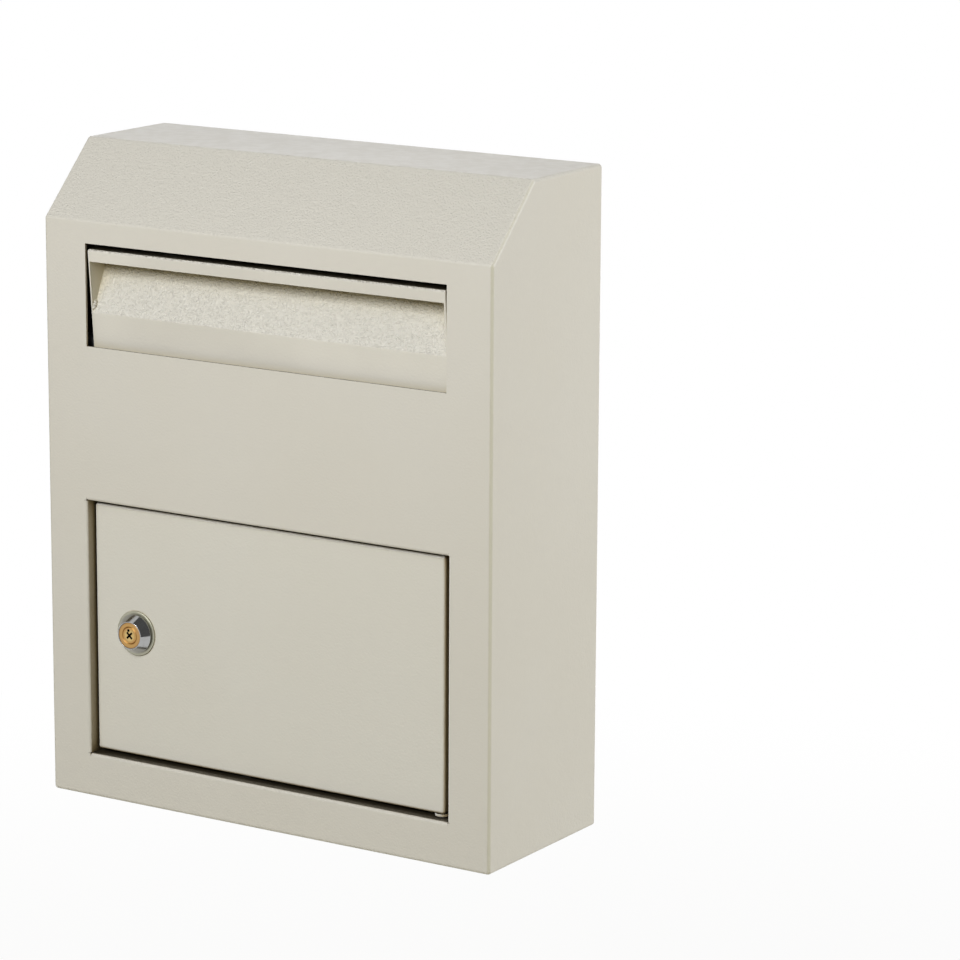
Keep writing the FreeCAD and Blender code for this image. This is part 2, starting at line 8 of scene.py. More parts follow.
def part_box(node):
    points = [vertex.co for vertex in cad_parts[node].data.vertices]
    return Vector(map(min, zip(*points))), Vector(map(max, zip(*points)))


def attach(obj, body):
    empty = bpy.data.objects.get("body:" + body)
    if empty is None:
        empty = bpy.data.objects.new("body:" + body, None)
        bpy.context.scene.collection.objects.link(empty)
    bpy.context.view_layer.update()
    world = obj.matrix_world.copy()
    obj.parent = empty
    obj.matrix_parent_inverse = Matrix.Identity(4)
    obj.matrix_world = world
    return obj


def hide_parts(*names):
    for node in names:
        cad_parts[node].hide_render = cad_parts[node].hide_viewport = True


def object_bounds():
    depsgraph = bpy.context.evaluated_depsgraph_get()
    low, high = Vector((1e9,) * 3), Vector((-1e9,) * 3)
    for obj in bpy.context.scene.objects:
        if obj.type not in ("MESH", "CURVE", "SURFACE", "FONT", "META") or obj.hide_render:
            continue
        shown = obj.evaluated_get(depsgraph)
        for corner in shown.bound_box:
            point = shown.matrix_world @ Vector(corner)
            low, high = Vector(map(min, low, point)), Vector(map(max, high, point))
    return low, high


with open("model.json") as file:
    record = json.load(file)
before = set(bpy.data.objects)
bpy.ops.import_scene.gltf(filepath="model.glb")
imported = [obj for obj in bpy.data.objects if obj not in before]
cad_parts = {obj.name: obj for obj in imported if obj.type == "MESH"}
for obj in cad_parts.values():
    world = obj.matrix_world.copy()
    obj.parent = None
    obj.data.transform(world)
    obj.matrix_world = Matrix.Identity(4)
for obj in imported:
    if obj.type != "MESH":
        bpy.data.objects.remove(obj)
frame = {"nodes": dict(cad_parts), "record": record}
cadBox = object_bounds()
mm = 0.001


# Shader helpers

def addNode(tree, kind, **settings):
    node = tree.nodes.new("ShaderNode" + kind)
    for name, value in settings.items():
        setattr(node, name, value)
    return node


def feed(tree, socket, value):
    # a link when the value is a socket, a plain number or colour otherwise
    if isinstance(value, bpy.types.NodeSocket):
        tree.links.new(value, socket)
    else:
        socket.default_value = value


def calc(tree, operation, first, second=0.0, third=None, clamp=False):
    node = addNode(tree, "Math", operation=operation, use_clamp=clamp)
    feed(tree, node.inputs[0], first)
    feed(tree, node.inputs[1], second)
    if third is not None:
        feed(tree, node.inputs[2], third)
    return node.outputs[0]


def vectorCalc(tree, operation, first, second=(0.0, 0.0, 0.0), output="Vector"):
    node = addNode(tree, "VectorMath", operation=operation)
    feed(tree, node.inputs[0], first)
    feed(tree, node.inputs[1], second)
    return node.outputs[output]


def noiseValue(tree, coords, size, detail=2.0, rough=0.5, distort=0.0):
    # noise whose blobs are about this size in metres
    node = addNode(tree, "TexNoise")
    feed(tree, node.inputs["Vector"], coords)
    feed(tree, node.inputs["Scale"], calc(tree, "DIVIDE", 1.0, size))
    feed(tree, node.inputs["Detail"], detail)
    feed(tree, node.inputs["Roughness"], rough)
    feed(tree, node.inputs["Distortion"], distort)
    return node.outputs[0]


def between(tree, value, low, high, toLow=0.0, toHigh=1.0):
    node = addNode(tree, "MapRange", interpolation_type="SMOOTHSTEP")
    feed(tree, node.inputs["Value"], value)
    feed(tree, node.inputs["From Min"], low)
    feed(tree, node.inputs["From Max"], high)
    feed(tree, node.inputs["To Min"], toLow)
    feed(tree, node.inputs["To Max"], toHigh)
    return node.outputs[0]


def mixColours(tree, share, first, second):
    node = addNode(tree, "Mix", data_type="RGBA")
    feed(tree, node.inputs[0], share)
    feed(tree, node.inputs[6], first)
    feed(tree, node.inputs[7], second)
    return node.outputs[2]


def openGroup(name, inputs, outputs):
    tree = bpy.data.node_groups.new(name, "ShaderNodeTree")
    kinds = {"Float": "NodeSocketFloat", "Color": "NodeSocketColor", "Vector": "NodeSocketVector"}
    for label, kind, value in inputs:
        socket = tree.interface.new_socket(label, in_out="INPUT", socket_type=kinds[kind])
        socket.default_value = value
    for label, kind in outputs:
        tree.interface.new_socket(label, in_out="OUTPUT", socket_type=kinds[kind])
    source = tree.nodes.new("NodeGroupInput")
    target = tree.nodes.new("NodeGroupOutput")
    return tree, source.outputs, target.inputs


def useGroup(tree, group, **values):
    node = tree.nodes.new("ShaderNodeGroup")
    node.node_tree = group
    for name, value in values.items():
        feed(tree, node.inputs[name], value)
    return node.outputs


# Effects that several finishes share

def orangePeelGroup():
    tree, given, wanted = openGroup("orangePeel", [
        ("grain", "Float", 0.0013),      # size of one bump in metres
        ("wave", "Float", 0.006),        # size of the slow waves under the bumps
        ("waveShare", "Float", 0.4),
    ], [("height", "Float"), ("cloud", "Float")])
    coords = addNode(tree, "TexCoord").outputs["Object"]
    fine = noiseValue(tree, coords, given["grain"], 1.0, 0.4, 0.3)
    slow = noiseValue(tree, coords, given["wave"], 1.0, 0.4)
    slowPart = calc(tree, "MULTIPLY", slow, given["waveShare"])
    finePart = calc(tree, "MULTIPLY", fine, calc(tree, "SUBTRACT", 1.0, given["waveShare"]))
    feed(tree, wanted["height"], calc(tree, "ADD", finePart, slowPart))
    feed(tree, wanted["cloud"], slow)
    return tree


def toneDriftGroup():
    # large soft drifts between two near tones
    tree, given, wanted = openGroup("toneDrift", [
        ("tone", "Color", (0.6, 0.6, 0.6, 1.0)),
        ("otherTone", "Color", (0.5, 0.5, 0.5, 1.0)),
        ("size", "Float", 0.08),
    ], [("colour", "Color"), ("drift", "Float")])
    coords = addNode(tree, "TexCoord").outputs["Object"]
    cloud = noiseValue(tree, coords, given["size"], 3.0, 0.5)
    drift = between(tree, cloud, 0.3, 0.7)
    feed(tree, wanted["colour"], mixColours(tree, drift, given["tone"], given["otherTone"]))
    feed(tree, wanted["drift"], drift)
    return tree


def hairScratchGroup():
    # sparse fine scratches from two sheets of stretched noise
    tree, given, wanted = openGroup("hairScratch", [
        ("spacing", "Float", 0.0012),
        ("length", "Float", 0.02),
        ("amount", "Float", 0.2),
    ], [("mask", "Float")])
    coords = addNode(tree, "TexCoord").outputs["Object"]
    masks = []
    for turn in ((0.4, 0.9, 0.2), (-0.7, 0.3, 1.1)):
        mapping = addNode(tree, "Mapping")
        feed(tree, mapping.inputs["Vector"], coords)
        mapping.inputs["Rotation"].default_value = turn
        stretch = addNode(tree, "CombineXYZ")
        feed(tree, stretch.inputs[0], calc(tree, "DIVIDE", 1.0, given["spacing"]))
        feed(tree, stretch.inputs[1], calc(tree, "DIVIDE", 1.0, given["length"]))
        feed(tree, stretch.inputs[2], calc(tree, "DIVIDE", 1.0, given["spacing"]))
        scaled = vectorCalc(tree, "MULTIPLY", mapping.outputs[0], stretch.outputs[0])
        field = noiseValue(tree, scaled, 1.0, 1.0, 0.5)
        line = calc(tree, "ABSOLUTE", calc(tree, "SUBTRACT", field, 0.5))
        masks.append(between(tree, line, 0.0, 0.02, 1.0, 0.0))
    both = calc(tree, "MAXIMUM", masks[0], masks[1])
    feed(tree, wanted["mask"], calc(tree, "MULTIPLY", both, given["amount"]))
    return tree


def turnedRingsGroup():
    # the fine rings that a lathe leaves around an axis along Y
    tree, given, wanted = openGroup("turnedRings", [
        ("axisPlace", "Vector", (0.0, 0.0, 0.0)),
        ("feedPerTurn", "Float", 0.0002),
    ], [("height", "Float")])
    coords = addNode(tree, "TexCoord").outputs["Object"]
    local = vectorCalc(tree, "SUBTRACT", coords, given["axisPlace"])
    flat = vectorCalc(tree, "MULTIPLY", local, (1.0, 0.0, 1.0))
    radius = vectorCalc(tree, "LENGTH", flat, output="Value")
    jitter = noiseValue(tree, coords, 0.004, 2.0, 0.5)
    turns = calc(tree, "ADD", calc(tree, "DIVIDE", radius, given["feedPerTurn"]), jitter)
    ripple = calc(tree, "SINE", calc(tree, "MULTIPLY", turns, 2 * math.pi))
    feed(tree, wanted["height"], calc(tree, "MULTIPLY_ADD", ripple, 0.5, 0.5))
    return tree


def shadeAndHighlightGroup():
    # painted light and shade in the coat's colour: on upward slopes, in corners, in gaps, on ledges behind
    # gaps, along the case's upright bends, and painted highlights on cut edges that face the light
    tree, given, wanted = openGroup("coatShadeAndHighlight", [
        ("coat", "Color", (0.6, 0.6, 0.5, 1.0)),
        ("reached", "Float", 1.0),       # how open the place is, 0 deep in a gap and 1 on a plain face
        ("slopePaintedLightTone", "Color", (0.6, 0.6, 0.5, 1.0)),
        ("cornerShadeTone", "Color", (0.3, 0.2, 0.1, 1.0)),
        ("gapShadeTone", "Color", (0.0, 0.0, 0.0, 1.0)),
        ("ledgeShadeTone", "Color", (0.0, 0.0, 0.0, 1.0)),
        ("bendShadeTone", "Color", (0.5, 0.5, 0.4, 1.0)),
        ("bendStart", "Float", 0.125),
        ("edgeHighlightTone", "Color", (0.8, 0.8, 0.7, 1.0)),
        ("topEdgeHighlight", "Float", 0.0),
    ], [("colour", "Color"), ("sloping", "Float")])
    coords = addNode(tree, "TexCoord").outputs
    place = addNode(tree, "SeparateXYZ")
    feed(tree, place.inputs[0], coords["Object"])
    facing = addNode(tree, "SeparateXYZ")
    feed(tree, facing.inputs[0], coords["Normal"])
    right, back, up = facing.outputs
    forward = calc(tree, "MULTIPLY", back, -1.0)

    slopeStart, slopeEnd, level = (0.25, 0.5), (0.92, 0.98), (0.97, 0.995)      # upward part of the normal
    cornerShare, gapShare, ledgeShare = (0.35, 0.8), (0.05, 0.45), (0.45, 0.85)
    rounded = (0.2, 0.45)       # where a normal lies between two faces, 0.5 is halfway
    # painted light or shade: faces that slope upwards take their own tone
    sloping = calc(tree, "MULTIPLY", between(tree, up, *slopeStart), between(tree, up, *slopeEnd, 1.0, 0.0))
    colour = mixColours(tree, sloping, given["coat"], given["slopePaintedLightTone"])
    # painted shade in corners and recesses, then near-black painted shade deep in gaps
    colour = mixColours(tree, between(tree, given["reached"], *cornerShare), given["cornerShadeTone"], colour)
    colour = mixColours(tree, between(tree, given["reached"], *gapShare), given["gapShadeTone"], colour)
    # painted shade on level faces behind a gap
    ledge = calc(tree, "MULTIPLY", between(tree, up, *level),
                 between(tree, given["reached"], *ledgeShare, 1.0, 0.0))
    colour = mixColours(tree, ledge, colour, given["ledgeShadeTone"])

    # painted shade along the case's upright bends
    bendWidth = 5 * mm
    bendEnd = calc(tree, "ADD", given["bendStart"], bendWidth)
    outside = between(tree, calc(tree, "ABSOLUTE", place.outputs[0]), given["bendStart"], bendEnd)
    bend = calc(tree, "MULTIPLY", calc(tree, "ABSOLUTE", right), forward)
    bend = calc(tree, "MULTIPLY", between(tree, bend, *rounded), outside)
    colour = mixColours(tree, bend, colour, given["bendShadeTone"])

    # painted highlight on rounded edges that face left, and on upward edges when switched on
    lit = calc(tree, "MAXIMUM", calc(tree, "MULTIPLY", right, -1.0),
               calc(tree, "MULTIPLY", up, given["topEdgeHighlight"]))
    edge = between(tree, calc(tree, "MULTIPLY", lit, forward), *rounded)
    edge = calc(tree, "MULTIPLY", edge, calc(tree, "SUBTRACT", 1.0, outside))
    feed(tree, wanted["colour"], mixColours(tree, edge, colour, given["edgeHighlightTone"]))
    feed(tree, wanted["sloping"], sloping)
    return tree


effects = {
    "orangePeel": orangePeelGroup(),
    "toneDrift": toneDriftGroup(),
    "hairScratch": hairScratchGroup(),
    "turnedRings": turnedRingsGroup(),
    "coatShadeAndHighlight": shadeAndHighlightGroup(),
}
print("shader groups built:", len(effects))


# Finishes

def newFinish(name):
    finish = bpy.data.materials.new(name)
    finish.use_nodes = True
    tree = finish.node_tree
    shader = tree.nodes["Principled BSDF"]
    return finish, tree, shader


def bumpFrom(tree, height, distance, strength=1.0):
    bump = addNode(tree, "Bump")
    bump.inputs["Strength"].default_value = strength
    bump.inputs["Distance"].default_value = distance
    feed(tree, bump.inputs["Height"], height)
    return bump.outputs[0]


powderSettings = {
    "tone": (0.600, 0.572, 0.506, 1.0),
    "warmTone": (0.593, 0.563, 0.493, 1.0),
    "driftSize": 0.09,
    "grain": 1.15 * mm,
    "wave": 5.0 * mm,
    "waveShare": 0.25,
    "bumpDepth": 0.16 * mm,
    "slopeGain": 5.0,        # faces that sloped upwards in the oven have a coarser peel
    # painted light or shade for faces that slope upwards
    "slopePaintedLightTone": (0.592, 0.566, 0.496, 1.0),
    "cornerShadeReach": 50 * mm,  # painted brown shade where ambient occlusion finds the place closed in, within this reach
    "cornerShadeSamples": 12,
    "cornerShadeTone": (0.28, 0.21, 0.10, 1.0),
    # painted shade, near black, deep in gaps
    "gapShadeTone": (0.03, 0.024, 0.014, 1.0),
    "ledgeShadeTone": (0.03, 0.024, 0.014, 1.0),   # painted shade on level faces behind a gap
    "bendShadeTone": (0.49, 0.465, 0.37, 1.0),     # painted shade on the case's two upright bends
    "bendStart": 125 * mm,
    "edgeHighlightTone": (0.78, 0.76, 0.71, 1.0),      # painted highlight on edges that face the light
    "topEdgeHighlight": 0.0,                           # 1 where edges that face upwards get the painted highlight too
    "roughness": (0.33, 0.43),
    "specular": 0.3,
}
# a lit copy of the powder coat for the hopper: a brighter tone, painted light on its upward scoop and paler
# painted shade in its corners and gaps
hopperLitCopySettings = dict(
    powderSettings,
    tone=(0.655, 0.624, 0.548, 1.0),
    slopeGain=15.0,
    slopePaintedLightTone=(0.685, 0.660, 0.587, 1.0),
    cornerShadeTone=(0.63, 0.58, 0.45, 1.0),
    gapShadeTone=(0.60, 0.53, 0.36, 1.0),
)
# a lit copy of the powder coat for the door: a little brighter, paler painted shade in its corners and
# gaps, and the painted highlight on its upward edges as well
doorLitCopySettings = dict(
    powderSettings,
    tone=(0.618, 0.594, 0.526, 1.0),
    warmTone=(0.611, 0.585, 0.513, 1.0),
    cornerShadeTone=(0.42, 0.34, 0.20, 1.0),
    gapShadeTone=(0.26, 0.20, 0.115, 1.0),
    topEdgeHighlight=1.0,
)


def powderCoatFinish(name, settings):
    finish, tree, shader = newFinish(name)
    tone = useGroup(tree, effects["toneDrift"], tone=settings["tone"], otherTone=settings["warmTone"],
                    size=settings["driftSize"])
    peel = useGroup(tree, effects["orangePeel"], grain=settings["grain"], wave=settings["wave"],
                    waveShare=settings["waveShare"])
    # ambient occlusion finds how closed in each place is, for the painted shade
    corner = addNode(tree, "AmbientOcclusion", samples=settings["cornerShadeSamples"])
    corner.inputs["Distance"].default_value = settings["cornerShadeReach"]
    given = ("slopePaintedLightTone", "cornerShadeTone", "gapShadeTone", "ledgeShadeTone", "bendShadeTone", "bendStart", "edgeHighlightTone",
             "topEdgeHighlight")
    # the coat's colour with painted shade and painted highlights laid into it
    paintedShading = useGroup(tree, effects["coatShadeAndHighlight"], coat=tone["colour"], reached=corner.outputs["AO"],
                     **{key: settings[key] for key in given})
    feed(tree, shader.inputs["Base Color"], paintedShading["colour"])
    low, high = settings["roughness"]
    feed(tree, shader.inputs["Roughness"], between(tree, peel["cloud"], 0.3, 0.7, low, high))
    gain = calc(tree, "MULTIPLY_ADD", paintedShading["sloping"], settings["slopeGain"] - 1.0, 1.0)
    height = calc(tree, "MULTIPLY", calc(tree, "SUBTRACT", peel["height"], 0.5), gain)
    feed(tree, shader.inputs["Normal"], bumpFrom(tree, height, settings["bumpDepth"]))
    shader.inputs["Specular IOR Level"].default_value = settings["specular"]
    return finish


chromeSettings = {
    "tone": (0.41, 0.415, 0.415, 1.0),
    "dullTone": (0.36, 0.36, 0.35, 1.0),
    "ringTone": (0.37, 0.36, 0.28, 1.0),      # the bezel's thin plate is tinted darker and yellowish
    "ringDepth": 1.5 * mm,
    "ringSoft": 0.1 * mm,
    "driftSize": 6 * mm,
    "roughness": (0.09, 0.20),
    "ringRoughness": 0.45,
    "scratch": {"spacing": 0.5 * mm, "length": 6 * mm, "amount": 0.5},
    "scratchDepth": 0.003 * mm,
}


def chromeFinish(settings, doorFace):
    finish, tree, shader = newFinish("smokyChrome")
    tone = useGroup(tree, effects["toneDrift"], tone=settings["tone"], otherTone=settings["dullTone"],
                    size=settings["driftSize"])
    scratch = useGroup(tree, effects["hairScratch"], **settings["scratch"])
    place = addNode(tree, "SeparateXYZ")
    feed(tree, place.inputs[0], addNode(tree, "TexCoord").outputs["Object"])
    foot, soft = doorFace - settings["ringDepth"], settings["ringSoft"]
    ring = between(tree, place.outputs[1], foot - soft, foot + soft)
    feed(tree, shader.inputs["Base Color"], mixColours(tree, ring, tone["colour"], settings["ringTone"]))
    shader.inputs["Metallic"].default_value = 1.0
    low, high = settings["roughness"]
    plain = between(tree, scratch["mask"], 0.0, 1.0, low, high)
    feed(tree, shader.inputs["Roughness"], between(tree, ring, 0.0, 1.0, plain, settings["ringRoughness"]))
    feed(tree, shader.inputs["Normal"], bumpFrom(tree, scratch["mask"], settings["scratchDepth"]))
    return finish


brassSettings = {
    "tone": (0.480, 0.295, 0.100, 1.0),
    "paleTone": (0.58, 0.42, 0.17, 1.0),      # worn bright by keys
    # painted shade in the groove ring
    "grooveShadeTone": (0.33, 0.18, 0.05, 1.0),
    "rimTone": (0.46, 0.27, 0.105, 1.0),
    # painted shade, near black, in the keyway, around its cross and in its dot
    "keywayShadeTone": (0.012, 0.010, 0.008, 1.0),
    "paleRadius": (2.4 * mm, 3.6 * mm),       # where the pale middle starts and ends to fade
    "groove": (4.2 * mm, 4.65 * mm),
    "rimRadius": (5.7 * mm, 6.2 * mm),
    "keyway": (3.3 * mm, 0.25 * mm, 10.5 * mm),   # radius, first and last depth
    "keyShadeEdge": (2.35 * mm, 0.62 * mm),            # half length and half width of the painted shade around its edge
    "dot": (-0.6 * mm, 2.6 * mm, 0.85 * mm),      # across, up, radius
    "soft": 0.15 * mm,
    "driftSize": 4 * mm,
    "roughness": (0.30, 0.42),
    "ringDepth": 0.002 * mm,
    "feedPerTurn": 0.28 * mm,
}


def brassFinish(settings, axisPlace):
    finish, tree, shader = newFinish("turnedBrass")
    rings = useGroup(tree, effects["turnedRings"], axisPlace=axisPlace,
                     feedPerTurn=settings["feedPerTurn"])
    drift = useGroup(tree, effects["toneDrift"], tone=settings["tone"], otherTone=settings["rimTone"],
                     size=settings["driftSize"])
    coords = addNode(tree, "TexCoord").outputs["Object"]
    local = vectorCalc(tree, "SUBTRACT", coords, axisPlace)
    acrossAxis = (1.0, 0.0, 1.0)
    radius = vectorCalc(tree, "LENGTH", vectorCalc(tree, "MULTIPLY", local, acrossAxis), output="Value")
    depth = addNode(tree, "SeparateXYZ")
    feed(tree, depth.inputs[0], local)
    soft = settings["soft"]
    pale = between(tree, radius, *settings["paleRadius"], 1.0, 0.0)
    grooveIn, grooveOut = settings["groove"]
    groove = calc(tree, "MULTIPLY", between(tree, radius, grooveIn - soft, grooveIn + soft),
                  between(tree, radius, grooveOut - soft, grooveOut + soft, 1.0, 0.0))
    rim = between(tree, radius, *settings["rimRadius"])

    # the keyway, a band round its cross and the dot are painted near black as shade
    keyRadius, keyStart, keyEnd = settings["keyway"]
    inPlug = calc(tree, "LESS_THAN", depth.outputs[1], keyEnd)
    keyway = calc(tree, "MULTIPLY", between(tree, radius, keyRadius, keyRadius + soft, 1.0, 0.0),
                  between(tree, depth.outputs[1], keyStart - soft, keyStart))
    diagonals = [calc(tree, "ABSOLUTE", calc(tree, kind, depth.outputs[0], depth.outputs[2]))
                 for kind in ("ADD", "SUBTRACT")]
    length, width = (value * math.sqrt(2.0) for value in settings["keyShadeEdge"])
    for longWay, shortWay in (diagonals, diagonals[::-1]):
        arm = calc(tree, "MULTIPLY", between(tree, longWay, length - soft, length, 1.0, 0.0),
                   between(tree, shortWay, width - soft, width, 1.0, 0.0))
        keyway = calc(tree, "MAXIMUM", keyway, arm)
    dotX, dotZ, dotRadius = settings["dot"]
    fromDot = vectorCalc(tree, "SUBTRACT", local, (dotX, 0.0, dotZ))
    fromDot = vectorCalc(tree, "LENGTH", vectorCalc(tree, "MULTIPLY", fromDot, acrossAxis), output="Value")
    dot = between(tree, fromDot, dotRadius - soft, dotRadius, 1.0, 0.0)
    keyway = calc(tree, "MULTIPLY", calc(tree, "MAXIMUM", keyway, dot), inPlug)

    colour = mixColours(tree, pale, drift["colour"], settings["paleTone"])
    colour = mixColours(tree, groove, colour, settings["grooveShadeTone"])
    colour = mixColours(tree, rim, colour, settings["rimTone"])
    feed(tree, shader.inputs["Base Color"], mixColours(tree, keyway, colour, settings["keywayShadeTone"]))
    shader.inputs["Metallic"].default_value = 1.0
    low, high = settings["roughness"]
    feed(tree, shader.inputs["Roughness"], between(tree, drift["drift"], 0.0, 1.0, low, high))
    feed(tree, shader.inputs["Normal"], bumpFrom(tree, rings["height"], settings["ringDepth"]))
    return finish


zincSettings = {
    "tone": (0.56, 0.57, 0.59, 1.0),
    "warmTone": (0.60, 0.58, 0.52, 1.0),
    "driftSize": 8 * mm,
    "roughness": (0.26, 0.42),
    "scratch": {"spacing": 0.4 * mm, "length": 8 * mm, "amount": 0.8},
    "scratchDepth": 0.005 * mm,
}


def zincFinish(settings):
    finish, tree, shader = newFinish("brightZincPlate")
    tone = useGroup(tree, effects["toneDrift"], tone=settings["tone"], otherTone=settings["warmTone"],
                    size=settings["driftSize"])
    scratch = useGroup(tree, effects["hairScratch"], **settings["scratch"])
    feed(tree, shader.inputs["Base Color"], tone["colour"])
    shader.inputs["Metallic"].default_value = 1.0
    low, high = settings["roughness"]
    feed(tree, shader.inputs["Roughness"], between(tree, scratch["mask"], 0.0, 1.0, low, high))
    feed(tree, shader.inputs["Normal"], bumpFrom(tree, scratch["mask"], settings["scratchDepth"]))
    return finish


nylonSettings = {
    "tone": (0.030, 0.030, 0.030, 1.0),
    "otherTone": (0.045, 0.044, 0.042, 1.0),
    "driftSize": 5 * mm,
    "roughness": 0.45,
    "grain": 0.25 * mm,
    "bumpDepth": 0.01 * mm,
}


def nylonFinish(settings):
    finish, tree, shader = newFinish("blackNylon")
    tone = useGroup(tree, effects["toneDrift"], tone=settings["tone"], otherTone=settings["otherTone"],
                    size=settings["driftSize"])
    peel = useGroup(tree, effects["orangePeel"], grain=settings["grain"])
    feed(tree, shader.inputs["Base Color"], tone["colour"])
    shader.inputs["Roughness"].default_value = settings["roughness"]
    feed(tree, shader.inputs["Normal"], bumpFrom(tree, peel["height"], settings["bumpDepth"]))
    return finish


plugLow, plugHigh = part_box("lock_plug")
lockAxis = Vector(((plugLow[0] + plugHigh[0]) / 2, plugLow[1], (plugLow[2] + plugHigh[2]) / 2))
lockProud = 6.5 * mm      # how far the lock stands out of the door's face
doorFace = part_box("lock_housing")[0][1] + lockProud

finishes = {
    "powder_coat": powderCoatFinish("ivoryPowderCoat", powderSettings),
    "chrome": chromeFinish(chromeSettings, doorFace),
    "brass": brassFinish(brassSettings, lockAxis),
    "zinc_plated_steel": zincFinish(zincSettings),
    "nylon": nylonFinish(nylonSettings),
}
hopperLitCopyCoat = powderCoatFinish("ivoryPowderCoatHopperLitCopy", hopperLitCopySettings)
doorLitCopyCoat = powderCoatFinish("ivoryPowderCoatDoorLitCopy", doorLitCopySettings)
# the hopper, its cheeks and the door take lit copies of the same coat
litCopyCoats = {
    "hopper_front": hopperLitCopyCoat,
    "hopper_cheek_left": hopperLitCopyCoat,
    "hopper_cheek_right": hopperLitCopyCoat,
    "door_panel": doorLitCopyCoat,
}


def dressNodes():
    for part in frame["record"]["subparts"]:
        for slot in frame["nodes"][part["node"]].material_slots:
            slot.material = litCopyCoats.get(part["node"], finishes[part["material_slot"]])


dressNodes()
print("finishes on all nodes:", len(finishes) + 2)


# Shape helpers

def softened(outline, steps=4):
    # outline corners are (across, along, radius), each rounded by its own radius
    points = []
    count = len(outline)
    for i, (across, along, radius) in enumerate(outline):
        here = Vector((across, along))
        if radius <= 0.0:
            points.append(here)
            continue
        before = Vector(outline[i - 1][:2]) - here
        after = Vector(outline[(i + 1) % count][:2]) - here
        longest = 0.49 * min(before.length, after.length)      # neighbouring roundings never meet
        reach = min(radius / math.tan(before.angle(after) / 2), longest)
        start, end = here + before.normalized() * reach, here + after.normalized() * reach
        for k in range(steps + 1):
            share = k / steps
            points.append(start.lerp(here, share).lerp(here.lerp(end, share), share))
    return points


def heldStraights(points, hold):
    # two more points on each long straight keep its shading flat
    result = []
    for here, there in zip(points, points[1:]):
        result.append(here)
        if (there - here).length > 4 * hold:
            way = (there - here).normalized() * hold
            result += [here + way, there - way]
    return result + points[-1:]


def newPiece(name, mesh, body, slot, replaced=(), finish=None, smoothAngle=35.0):
    piece = bpy.data.objects.new(name, mesh)
    bpy.context.collection.objects.link(piece)
    mesh.materials.append(finish or finishes[slot])
    mesh.set_sharp_from_angle(angle=math.radians(smoothAngle))
    for face in mesh.polygons:
        face.use_smooth = True
    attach(piece, body)
    if replaced:
        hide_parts(*replaced)
    return piece


def meshFromShape(name, shape):
    sameSpot = 0.002 * mm
    bmesh.ops.remove_doubles(shape, verts=shape.verts, dist=sameSpot)
    bmesh.ops.recalc_face_normals(shape, faces=shape.faces)
    mesh = bpy.data.meshes.new(name)
    shape.to_mesh(mesh)
    shape.free()
    return mesh


def skinRows(shape, rows):
    for here, there in zip(rows, rows[1:]):
        for j in range(len(here) - 1):
            shape.faces.new((here[j], here[j + 1], there[j + 1], there[j]))


# Lock housing: bezel, neck, cone and threaded barrel turned from one bar

housingSettings = {
    # lengths along the axis start at the door's face, and minus is outwards
    "bore": 6.85 * mm,
    "mouth": (0.6 * mm, 0.08 * mm),           # depth of the bore's front wall and round of its edge
    "coneTop": 7.25 * mm,
    "coneBase": 10.45 * mm,
    "coneFoot": -1.85 * mm,
    "neck": 9.5 * mm,
    "bezel": 11.75 * mm,
    "bezelFront": -1.0 * mm,
    "rimRound": 0.14 * mm,
    "footRound": 0.35 * mm,
    "neckRound": (0.1 * mm, 0.3 * mm),        # at the cone and at the bezel
    "bezelRound": (0.45 * mm, 0.06 * mm),     # at its front and at the door
    "seatInset": 0.3 * mm,
    "edgeHold": 0.08 * mm,                    # straights are shaded flat up to here from a rounding
    "thread": (9.3 * mm, 8.8 * mm),           # crest and root radius
    "pitch": 1.0 * mm,
    "threadForm": ((0.0, 0.0), (0.12, 0.0), (0.45, 1.0), (0.57, 1.0), (0.9, 0.0)),
    "threadEnds": (0.05 * mm, 0.35 * mm),     # plain lengths at the door and at the barrel's end
    "flats": 8.0 * mm,
    "barrelEnd": 15.0 * mm,
    "rearBore": 5.05 * mm,
    "rearWall": 2.0 * mm,
    "rearChamfer": (0.25 * mm, 0.2 * mm),     # across and along
    "lug": (6.3 * mm, 8.0 * mm, 13.8),        # inner and outer radius, half angle in degrees
    "lugSink": 0.1 * mm,
    "lugEnd": 16.3 * mm,
    "lugSteps": 6,
    "turns": 96,
}


